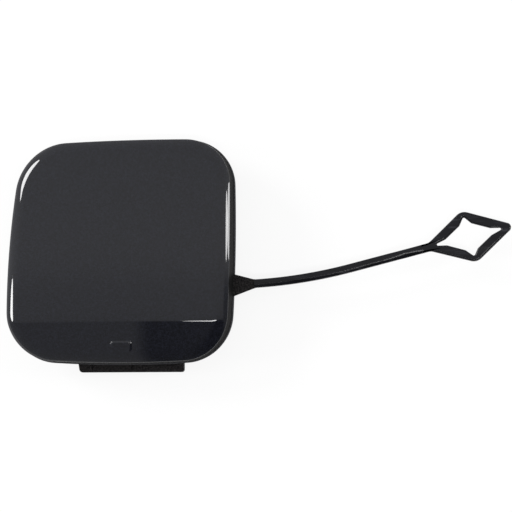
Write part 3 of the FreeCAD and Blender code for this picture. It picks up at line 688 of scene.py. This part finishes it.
# The tongue: a plate below the lower edge that hooks behind the bumper. It hangs on a web from the back
# of the panel, three gussets hold the web square, and three crush ribs take up its play.
LEDGE_WIDTH = 5.3
LEDGE_GAP = 3.2
TONGUE_WALL = 2.0
TONGUE_MIDDLE, TONGUE_HALF = 2.35, 19.45
TONGUE_LEFT, TONGUE_RIGHT = TONGUE_MIDDLE - TONGUE_HALF, TONGUE_MIDDLE + TONGUE_HALF
TONGUE_TIP = -SIDES[3, 0] - 2.8
TONGUE_PITCH = 14.35
# The plate's left end slants outwards to the root. Its right end lies a little inside the web's.
SLANT_TIP, SLANT_ROOT, RIGHT_INSET = 0.7, -0.9, 0.3
# It is set off by this much, so that none of its faces lies in a face of the web.
TUCK, DROP = 0.05, 0.01
WEB_FACE = LEDGE_WIDTH - SIDES[3, 0]
WEB_BACK = WEB_FACE + TONGUE_WALL
# Web and gussets end inside the panel's wall.
WEB_ROOT, GUSSET_ROOT = 9.2, 9.6
CRUSH_TIP = TONGUE_TIP + 0.4
CRUSH_HALF, CRUSH_RISE, CRUSH_ROOT = 0.4, 0.42, 1.0
GUSSET_HALF, GUSSET_SPREAD, GUSSET_LAP = 0.6, 4.5, 1.0


def edge_rows(plan, outward, angle, edge, level):
    """Rows of an outline carried over a round edge, with their normals.

    At an angle of the normal, the outline moves in by the edge's radius less its cosine part, and lies
    at the level plus its sine part.
    """
    cos, sin = np.cos(angle), np.sin(angle)
    rows = plan - (edge * (1 - cos))[:, None, None] * outward
    return lifted(rows, (level + edge * sin)[:, None]), lifted(cos[:, None, None] * outward, sin[:, None])


def add_plate(name, corners, radii, low, high, axes=(0, 1, 2), edge=0.3, middle=None):
    """A plate of even thickness with rounded corners and edges.

    The outline lies in the plane of the first two axes and the thickness along the third. The flat sides
    close on a middle point that sees the whole outline.
    """
    plan, outward = rounded_corners(corners, radii, steps=6, between=6)
    quarter = np.linspace(0, np.pi / 2, 6)
    level = np.repeat([low + edge, high - edge], len(quarter))
    rows, normals = edge_rows(plan, outward, np.append(-quarter[::-1], quarter), edge, level)
    spot = plan.mean(axis=0) if middle is None else middle
    poles = np.array([[*spot, low], [*spot, high]])
    ends = np.array([(0.0, 0, -1), (0.0, 0, 1)])
    rows, normals, poles, ends = (values[..., np.argsort(axes)] for values in (rows, normals, poles, ends))
    add_closed_rows(name, rows, normals, ends, BARE, poles)


add_plate(
    "tongue_web",
    [(TONGUE_LEFT, WEB_FACE), (TONGUE_RIGHT, WEB_FACE), (TONGUE_RIGHT, WEB_BACK), (TONGUE_LEFT, WEB_BACK)],
    0.3, -LEDGE_GAP - TONGUE_WALL, WEB_ROOT,
)
add_plate(
    "tongue",
    [
        (TONGUE_LEFT + SLANT_TIP, TONGUE_TIP), (TONGUE_RIGHT - RIGHT_INSET, TONGUE_TIP),
        (TONGUE_RIGHT - RIGHT_INSET, WEB_BACK - TUCK), (TONGUE_LEFT + SLANT_ROOT, WEB_BACK - TUCK),
    ],
    [1.3, 0.9, 0.3, 0.3], -LEDGE_GAP - TONGUE_WALL - DROP, -LEDGE_GAP, edge=0.35,
)
for step in (-1, 0, 1):
    across = TONGUE_MIDDLE + step * TONGUE_PITCH
    left, right = across - CRUSH_HALF, across + CRUSH_HALF
    add_plate(
        f"tongue_crush_rib_{step + 2}",
        [(left, CRUSH_TIP), (right, CRUSH_TIP), (right, WEB_BACK), (left, WEB_BACK)],
        0.35, -LEDGE_GAP - CRUSH_ROOT, -LEDGE_GAP + CRUSH_RISE, edge=0.3,
    )
    add_plate(
        f"tongue_gusset_{step + 2}",
        [
            (WEB_BACK - GUSSET_LAP, -LEDGE_GAP), (WEB_BACK, -LEDGE_GAP),
            (WEB_BACK + GUSSET_SPREAD, GUSSET_ROOT), (WEB_BACK - GUSSET_LAP, GUSSET_ROOT),
        ],
        0.25, across - GUSSET_HALF, across + GUSSET_HALF, axes=(1, 2, 0), edge=0.2,
    )

# The snap hooks: two sprung arms behind the upper edge whose barbs click over the bumper's ledge. A short
# lead at the tip bends each arm aside as the cover is pushed in.
ARM_WALL = 1.7
HOOK_BACK = SIDES[1, 0] - LEDGE_WIDTH
HOOK_FRONT = HOOK_BACK - ARM_WALL
HOOK_PLACE, HOOK_HALF = 18, 4
CATCH_TIP = -9.0
TIP_WIDTH = 1.1
BARB_REACH, BARB_LAND = 1.5, 0.8
# The arm flares from these heights at its back and its front, and ends inside the panel's wall.
FLARE_BACK, FLARE_FRONT, HOOK_FLARE, HOOK_ROOT = 8.4, 8.6, 0.9, 9.9
HOOK_RADII = [0.3, 0.3, 0.25, 0.15, 0.25, 0.8, 0.2, 0.2, 0.8]

for side, name in ((-1, "left"), (1, "right")):
    add_plate(
        f"{name}_snap_hook",
        [
            (HOOK_FRONT, CATCH_TIP), (HOOK_FRONT + TIP_WIDTH, CATCH_TIP),
            (HOOK_BACK + BARB_REACH, -LEDGE_GAP - BARB_LAND), (HOOK_BACK + BARB_REACH, -LEDGE_GAP),
            (HOOK_BACK, -LEDGE_GAP), (HOOK_BACK, FLARE_BACK), (HOOK_BACK + HOOK_FLARE, HOOK_ROOT),
            (HOOK_FRONT - HOOK_FLARE, HOOK_ROOT), (HOOK_FRONT, FLARE_FRONT),
        ],
        HOOK_RADII, side * HOOK_PLACE - HOOK_HALF, side * HOOK_PLACE + HOOK_HALF,
        axes=(1, 2, 0), edge=0.25, middle=(HOOK_FRONT + 0.9, -LEDGE_GAP - 0.4),
    )

# The guide tabs: stiff blades at the left and the right that centre the cover in its opening, each with a
# gusset behind it and a chamfered tip.
TAB_FACE = SIDES[0, 0] - LEDGE_WIDTH
TAB_BACK = TAB_FACE - ARM_WALL
TAB_CHAMFER = 0.8
TAB_PLACE, TAB_HALF, TAB_ROOT = -19.0, 3.75, 9.4
BRACE_HALF, BRACE_FOOT, BRACE_ROOT, BRACE_LAP = 0.6, -5.0, 10.0, 0.5

for side, name in ((-1, "left"), (1, "right")):
    for kind, corners, radius, half, edge in (
        ("tab", [
            (TAB_BACK, CATCH_TIP), (TAB_FACE - TAB_CHAMFER, CATCH_TIP), (TAB_FACE, CATCH_TIP + TAB_CHAMFER),
            (TAB_FACE, TAB_ROOT), (TAB_BACK, TAB_ROOT),
        ], 0.3, TAB_HALF, 0.25),
        ("gusset", [
            (TAB_BACK - GUSSET_SPREAD, BRACE_ROOT), (TAB_BACK, BRACE_FOOT),
            (TAB_FACE - BRACE_LAP, BRACE_FOOT), (TAB_FACE - BRACE_LAP, BRACE_ROOT),
        ], 0.25, BRACE_HALF, 0.2),
    ):
        add_plate(
            f"{name}_guide_{kind}", (np.array(corners) * (side, 1))[::side], radius,
            TAB_PLACE - half, TAB_PLACE + half, axes=(0, 2, 1), edge=edge,
        )

# The tether: a root web on the skirt, then a flat strap with one gentle bend. It is moulded with the
# cover and holds it to the car when the cover is out.
TETHER_START = np.array([47.6, -11.5])
TETHER_HEADING = np.radians(2.8)
TETHER_TURN = np.radians(11.2)
TETHER_BEND = 176.0
TETHER_STRAIGHT = 41.8
TETHER_LOW = 0.2
STRAP_TOP = 2.2
WEB_TOP = 1.6
WEB_SPREAD, WEB_LENGTH = 2.3, 7.2
STRAP_HALF = 1.5
TETHER_EDGE = 0.4
# Tones along the tether: the lightest grey makes thin streaks, rub marks that also paint the strap's
# highlights.
TETHER_TONES_AND_HIGHLIGHT_STREAKS = [
    (0.3, (0.0008, 0.0008, 0.0018)), (0.6, (0.0036, 0.0036, 0.0060)), (0.72, (0.0220, 0.0220, 0.0270)),
]


def tether_line(length):
    """Points and headings along the middle of the tether, at lengths from the web's end.

    Before the start the line is straight, then it turns to the left on a circle, and then it is straight
    again to the anchor.
    """
    length = np.asarray(length, float)
    bent = np.clip(length / TETHER_BEND, 0, TETHER_TURN)
    before = np.minimum(length, 0)
    after = np.maximum(length - TETHER_BEND * TETHER_TURN, 0)
    along = before + TETHER_BEND * np.sin(bent) + after * np.cos(TETHER_TURN)
    aside = TETHER_BEND * (1 - np.cos(bent)) + after * np.sin(TETHER_TURN)
    cos, sin = np.cos(TETHER_HEADING), np.sin(TETHER_HEADING)
    point = TETHER_START + np.stack([along * cos - aside * sin, along * sin + aside * cos], axis=-1)
    return point, TETHER_HEADING + bent


def tether_finish():
    """Black plastic, smoother than the tongue's, with slow waves and lighter streaks along the tether.

    The streaks are rub marks that also paint the highlights that the strap catches.
    """
    material, tree, shader = start_finish("tether_black_plastic")
    place = add_node(tree, "TexCoord")["Object"]
    aslant = (0, 0, -TETHER_HEADING - TETHER_TURN / 2)
    drawn = add_node(tree, "Mapping", Vector=place, Rotation=aslant, Scale=(0.13, 1, 1))["Vector"]
    # Noise drawn out along the tether: flow marks, and through its lightest tone, painted highlight
    # streaks.
    flow_and_highlight_streaks = add_noise(tree, drawn, 900.0, 2.0)
    sunk = add_relief(tree, add_noise(tree, drawn, 110.0, 0.0), 1.0, 0.0022)
    set_inputs(
        tree, shader,
        Base_Color=add_tones(tree, flow_and_highlight_streaks, TETHER_TONES_AND_HIGHLIGHT_STREAKS),
        Normal=add_relief(tree, flow_and_highlight_streaks, 0.25, 0.00008, Normal=sunk),
        Roughness=add_node(tree, "MapRange", flow_and_highlight_streaks, To_Min=0.14, To_Max=0.22)["Result"],
        Specular_IOR_Level=0.26,
    )
    return material, "bare_plastic"


def add_strap(name, lengths, half, low, high, crown_angle, roll, finish):
    """A section carried along the tether's line, with a half width and a roll to the right for each length.

    The section has round edges and a top that is an arc between them. The arc's radius is the edge's plus
    what is left of the half width over the sine of the angle that the arc turns to either side. The roll
    turns the section in its own plane about its middle.
    """
    point, heading = tether_line(lengths)
    edge = TETHER_EDGE
    half, roll = half[:, None], roll[:, None]
    turn = np.radians(crown_angle)
    arc = edge + (half - edge) / np.sin(turn)
    shoulder, foot = high - arc + (arc - edge) * np.cos(turn), 0 * half + low + edge
    side = np.linspace(0, np.pi / 2 - turn, 6)
    over = np.linspace(np.pi / 2 - turn, np.pi / 2 + turn, 9)
    under = np.linspace(np.pi, 1.5 * np.pi, 6)
    # For each arc of the section, how far its centre lies out and up, its radius and its directions.
    arcs = (
        (half - edge, shoulder, edge, side),
        (0 * half, high - arc, arc, over),
        (edge - half, shoulder, edge, np.pi - side[::-1]),
        (edge - half, foot, edge, under),
        (half - edge, foot, edge, under + np.pi / 2),
    )
    out, rise = (
        np.concatenate([arc[part] + arc[2] * wave(arc[3]) for arc in arcs], axis=1)
        for part, wave in enumerate((np.cos, np.sin))
    )
    facing = np.concatenate([angle for *_, angle in arcs]) - roll
    rise -= (low + high) / 2
    aside = out * np.cos(roll) + rise * np.sin(roll)
    height = (low + high) / 2 + rise * np.cos(roll) - out * np.sin(roll)
    forward = np.stack([np.cos(heading), np.sin(heading)], axis=-1)
    sideways = (forward[:, ::-1] * (1, -1))[:, None]
    rows = lifted(point[:, None] + aside[..., None] * sideways, height)
    normals = lifted(np.cos(facing)[..., None] * sideways, np.sin(facing))
    add_closed_rows(name, rows, normals, lifted(forward[[0, -1]], 0.0) * [[-1], [1]], finish)


TETHER = tether_finish()
TO_ANCHOR = TETHER_BEND * TETHER_TURN + TETHER_STRAIGHT
web_lengths = np.linspace(-8.4, 0.4, 12)
web_half = STRAP_HALF + WEB_SPREAD * np.clip(-web_lengths / WEB_LENGTH, 0, 1.1)
add_strap("tether_root_web", web_lengths, web_half, TETHER_LOW, WEB_TOP, 2.0, 0 * web_half, BARE)
# The strap has taken a slight twist short of the anchor. It starts inside the web and ends inside the
# anchor, and is set in a little from both.
TWIST, TWIST_PLACE, TWIST_LENGTH = np.radians(11.0), 54.0, 4.0
SET_IN = 0.01
ANCHOR_LAP = 16.0
strap_lengths = np.linspace(0, TO_ANCHOR - ANCHOR_LAP, 120)
strap_twist = TWIST * np.exp(-(((strap_lengths - TWIST_PLACE) / TWIST_LENGTH) ** 2))
strap_half = np.full(len(strap_lengths), STRAP_HALF - SET_IN)
add_strap(
    "tether_strap", strap_lengths, strap_half, TETHER_LOW + SET_IN, STRAP_TOP - SET_IN, 20.0,
    strap_twist, TETHER,
)

# The anchor: a flat diamond with an eye. On the real tether its two side corners are thin and fold like
# hinges, so that it slips through a hole in the bumper and opens behind it; here the diamond is rigid.
ANCHOR_LENGTH, ANCHOR_WIDTH = 16.35, 9.3
EYE_LENGTH, EYE_WIDTH = 12.6, 7.1
# How far the right corner and the tip lie beyond an even diamond's, as the moulding is a little askew.
ANCHOR_SKEW, TIP_SKEW = 0.6, 0.15
# Widths of the bars at the lower left, the lower right, the upper right and the upper left.
BARS = np.array([3.42, 3.02, 3.34, 3.22])
BAR_START, BAR_END = 2.05, 7.8
ANCHOR_EDGE = 0.7
# The anchor's neck laps the strap's end by running this far back from the middle.
NECK = 16.5
ANCHOR_RADII = [0.1, 3.5, 3.8, 1.55, 3.8, 3.5, 0.1]
EYE_RADII = [0.4, 1.5, 1.5, 0.5, 1.5, 1.5] * 2


def anchor_contours():
    """The anchor's outline and its eye, both from its middle, and both at the same directions.

    The eye's sides run at the bar's width from the outline's, between two places along the anchor. Both
    outlines are read at every direction at which either has a point.
    """
    slope = ANCHOR_WIDTH / ANCHOR_LENGTH
    root = ANCHOR_LENGTH * (STRAP_HALF / ANCHOR_WIDTH - 1)
    outer = rounded_corners(
        [
            (-NECK, -STRAP_HALF), (root, -STRAP_HALF), (ANCHOR_SKEW, -ANCHOR_WIDTH),
            (ANCHOR_LENGTH + TIP_SKEW, -TIP_SKEW), (-TIP_SKEW, ANCHOR_WIDTH + TIP_SKEW / 2),
            (root, STRAP_HALF), (-NECK, STRAP_HALF),
        ],
        ANCHOR_RADII, steps=16, between=16,
    )
    start, end = (
        ANCHOR_WIDTH - BARS * np.hypot(1, slope) - slope * place for place in (BAR_START, BAR_END)
    )
    eye = rounded_corners(
        [
            (-EYE_LENGTH, TIP_SKEW), (-BAR_END, -end[0]), (-BAR_START, -start[0]),
            (ANCHOR_SKEW / 2, TIP_SKEW - EYE_WIDTH), (BAR_START, -start[1]), (BAR_END, -end[1]),
            (EYE_LENGTH, -TIP_SKEW), (BAR_END, end[2]), (BAR_START, start[2]), (0, EYE_WIDTH),
            (-BAR_START, start[3]), (-BAR_END, end[3]),
        ],
        EYE_RADII, steps=10, between=8,
    )
    contours = [np.concatenate(contour, axis=1) for contour in (outer, eye)]
    bearings = [np.arctan2(contour[:, 1], contour[:, 0]) % (2 * np.pi) for contour in contours]
    every = np.unique(np.round(np.concatenate(bearings), 5))
    read = [
        np.stack([np.interp(every, bearing, column, period=2 * np.pi) for column in contour.T], axis=1)
        for contour, bearing in zip(contours, bearings)
    ]
    return [(values[:, :2], unit(values[:, 2:])) for values in read]


def add_anchor():
    """Rows round the anchor's section: the eye's wall, the top, the outer wall, and back underneath."""
    (outer, outer_out), (eye, eye_out) = anchor_contours()
    middle, heading = tether_line(TO_ANCHOR)
    up = np.linspace(0, np.pi / 2, 6)
    share = np.linspace(0, 1, 6)[1:-1, None, None]
    rows, normals = [], []
    for first, second, level, rise in (
        ((eye, -eye_out, up), (outer, outer_out, up[::-1]), STRAP_TOP - ANCHOR_EDGE, 1),
        ((outer, outer_out, -up), (eye, -eye_out, -up[::-1]), TETHER_LOW + ANCHOR_EDGE, -1),
    ):
        here, here_out = edge_rows(*first, ANCHOR_EDGE, level)
        there, there_out = edge_rows(*second, ANCHOR_EDGE, level)
        flat = here[-1] + share * (there[0] - here[-1])
        rows += [here, flat, there]
        normals += [here_out, np.broadcast_to([0, 0, rise], flat.shape), there_out]
    cos, sin = np.cos(heading), np.sin(heading)
    turn = np.array([(cos, sin, 0), (-sin, cos, 0), (0, 0, 1)])
    add_ring(
        "tether_anchor", np.concatenate(rows) @ turn + [*middle, 0], np.concatenate(normals) @ turn, TETHER,
    )


add_anchor()

# The bench under the cover: a flat pale board, which carries the cover on the tips of its hooks and keeps
# a faint shadow. From beneath it is clear, so that the back of the cover can be looked at.
BENCH_LEVEL = -9.0
BENCH_REACH = 3000.0
BENCH_WHITE = 0.85
PALE = (0.88, 0.88, 0.88, 1)


def add_bench():
    """A square grid at one level, wide enough to fill every view."""
    across = np.linspace(-BENCH_REACH, BENCH_REACH, 21)
    points = lifted(np.stack(np.meshgrid(across, across), axis=-1), BENCH_LEVEL) * MM
    numbers = np.arange(len(across) ** 2).reshape(len(across), -1)
    mesh = bpy.data.meshes.new("bench")
    mesh.from_pydata(points.reshape(-1, 3).tolist(), [], quads(numbers).tolist())
    material, tree, shader = start_finish("pale_bench")
    set_inputs(tree, shader, Base_Color=PALE, Roughness=0.9, Specular_IOR_Level=0.1)
    seen = add_node(tree, "LightPath")
    share = add_math(tree, "MAXIMUM", seen["Is Camera Ray"], seen["Is Glossy Ray"])
    share = add_math(tree, "MAXIMUM", share, seen["Is Transmission Ray"])
    beneath = add_node(tree, "NewGeometry")["Backfacing"]
    white = add_node(tree, "Emission")["Emission"]
    clear = add_node(tree, "BsdfTransparent")["BSDF"]
    share = add_math(tree, "MULTIPLY", share, BENCH_WHITE)
    board = add_node(tree, "MixShader", share, shader.outputs["BSDF"], white)["Shader"]
    share = add_math(tree, "MULTIPLY", beneath, seen["Is Camera Ray"])
    board = add_node(tree, "MixShader", share, board, clear)["Shader"]
    set_inputs(tree, tree.nodes["Material Output"], Surface=board)
    mesh.materials.append(material)
    bench = add_object("bench", mesh)


add_bench()

# The light from the room round the cover: pale at the back, overhead and on the left, and dimmer in
# front, with a darker wall below the window on the right. Each list gives places along one part of the
# direction, from -1 to 1, and the brightness there.
CEILING_BY_Y = [(-0.14, 0.56), (-0.05, 0.66), (0.1, 0.81), (0.6, 0.76)]
FRONT_BY_X = [(-0.205, 0.43), (-0.15, 0.15), (0.0, 0.17), (0.35, 0.1)]
RIGHT_BY_Y = [(-0.05, 0.3), (0.06, 0.85)]
# How much of the ceiling, of the right-hand wall and of the horizon there is at such places.
CEILING_SHARE_BY_Y = [(-0.3, 0.0), (-0.14, 1.0)]
RIGHT_SHARE_BY_X = [(0.72, 0.0), (0.84, 1.0)]
HORIZON_SHARE_BY_Z = [(0.01, 1.0), (0.05, 0.0)]


def add_room_light():
    """The room's brightness by direction: its Y at the back, its X in front, and its Y on the far right.

    The camera sees white behind the bench, and so do reflections near the horizon. Higher up they show
    the room.
    """
    world = bpy.data.worlds.new("room_light")
    bpy.context.scene.world = world
    world.use_nodes = True
    tree = world.node_tree
    direction = add_node(tree, "TexCoord")["Generated"]
    parts = add_node(tree, "SeparateXYZ", Vector=direction)

    def levels(axis, stops):
        """Greys by one part of the direction, eased from stop to stop."""
        share = add_node(tree, "MapRange", parts[axis], From_Min=-1.0, From_Max=1.0)["Result"]
        greys = [((place + 1) / 2, (level, level, level)) for place, level in stops]
        return add_tones(tree, share, greys, "EASE")

    def blend(share, first, second):
        """The first colour where the share is none, the second where it is all."""
        mixed = tree.nodes.new("ShaderNodeMix")
        mixed.data_type = "RGBA"
        set_inputs(tree, mixed, Factor=share, A=first, B=second)
        return mixed.outputs["Result"]

    ceiling = blend(levels("Y", CEILING_SHARE_BY_Y), levels("X", FRONT_BY_X), levels("Y", CEILING_BY_Y))
    room = blend(levels("X", RIGHT_SHARE_BY_X), ceiling, levels("Y", RIGHT_BY_Y))
    seen = add_node(tree, "LightPath")
    mirrored = add_math(tree, "MULTIPLY", levels("Z", HORIZON_SHARE_BY_Z), seen["Is Glossy Ray"])
    share = add_math(tree, "MAXIMUM", seen["Is Camera Ray"], seen["Is Transmission Ray"])
    share = add_math(tree, "MAXIMUM", share, mirrored)
    set_inputs(tree, tree.nodes["Background"], Color=blend(share, room, (1, 1, 1, 1)))


add_room_light()

# The lamps: softboxes at the back, on the left and in front, and a window in two panes on the right. For
# each its bearing from +X and how far up it stands, its width and height as angles, how far it is turned
# in its own plane, all in degrees, and its brightness.
LAMP_DISTANCE = 3.0
LAMPS = {
    "left_back_softbox": (150.5, 27, 27, 18, 0, 18.0),
    "left_softbox": (183.2, 24, 13.1, 14, 0, 20.0),
    "right_window_top": (9.4, 31.5, 13.0, 8, 0, 15.0),
    "right_window": (9.4, 18.5, 13.0, 20, 0, 12.0),
    "front_lamp": (-52.8, 72.0, 90, 6.6, -40, 19.0),
}


def stand(thing, across, away, spot):
    """Puts a lamp or the camera at a spot, with its right-hand side and its back along two directions."""
    placed = np.eye(4)
    placed[:3] = np.column_stack([across, np.cross(away, across), away, spot])
    thing.matrix_world = placed.T.tolist()


def add_lamp(name, bearing, rise, wide, high, turn, level):
    """A flat oval lamp that faces the cover, on a sphere round it, as wide and high as its angles say."""
    bearing, rise, wide, high, turn = np.radians([bearing, rise, wide, high, turn])
    data = bpy.data.lights.new(name, "AREA")
    data.shape = "ELLIPSE"
    data.size = 2 * LAMP_DISTANCE * np.tan(wide * np.cos(rise) / 2)
    data.size_y = 2 * LAMP_DISTANCE * np.tan(high / 2)
    data.energy = level * np.pi * data.size * data.size_y * np.pi / 4
    away = np.array([np.cos(rise) * np.cos(bearing), np.cos(rise) * np.sin(bearing), np.sin(rise)])
    level_axis = np.array([-np.sin(bearing), np.cos(bearing), 0])
    across = level_axis * np.cos(turn) + np.cross(away, level_axis) * np.sin(turn)
    lamp = add_object(name, data)
    stand(lamp, across, away, away * LAMP_DISTANCE)
    lamp.visible_camera = False


for name, values in LAMPS.items():
    add_lamp(name, *values)

# The camera: a long lens above the bench, a little to the right of the cover and below it, that looks
# down on the cover and its tether.
TARGET = np.array([47.87, -1.71, 0.0])
BACKWARD = unit(np.array([0.17365, -0.08716, 0.98094]))
DISTANCE = 700.0
camera_data = bpy.data.cameras.new("camera")
camera_data.lens = 140.625
camera_data.sensor_width = 36.0
camera_data.clip_start = 0.01
camera_data.clip_end = 20.0
camera = add_object("camera", camera_data)
stand(camera, unit(np.cross((0, 1, 0), BACKWARD)), BACKWARD, (TARGET + DISTANCE * BACKWARD) * MM)
bpy.context.scene.camera = camera
bpy.context.scene.view_settings.view_transform = "Standard"
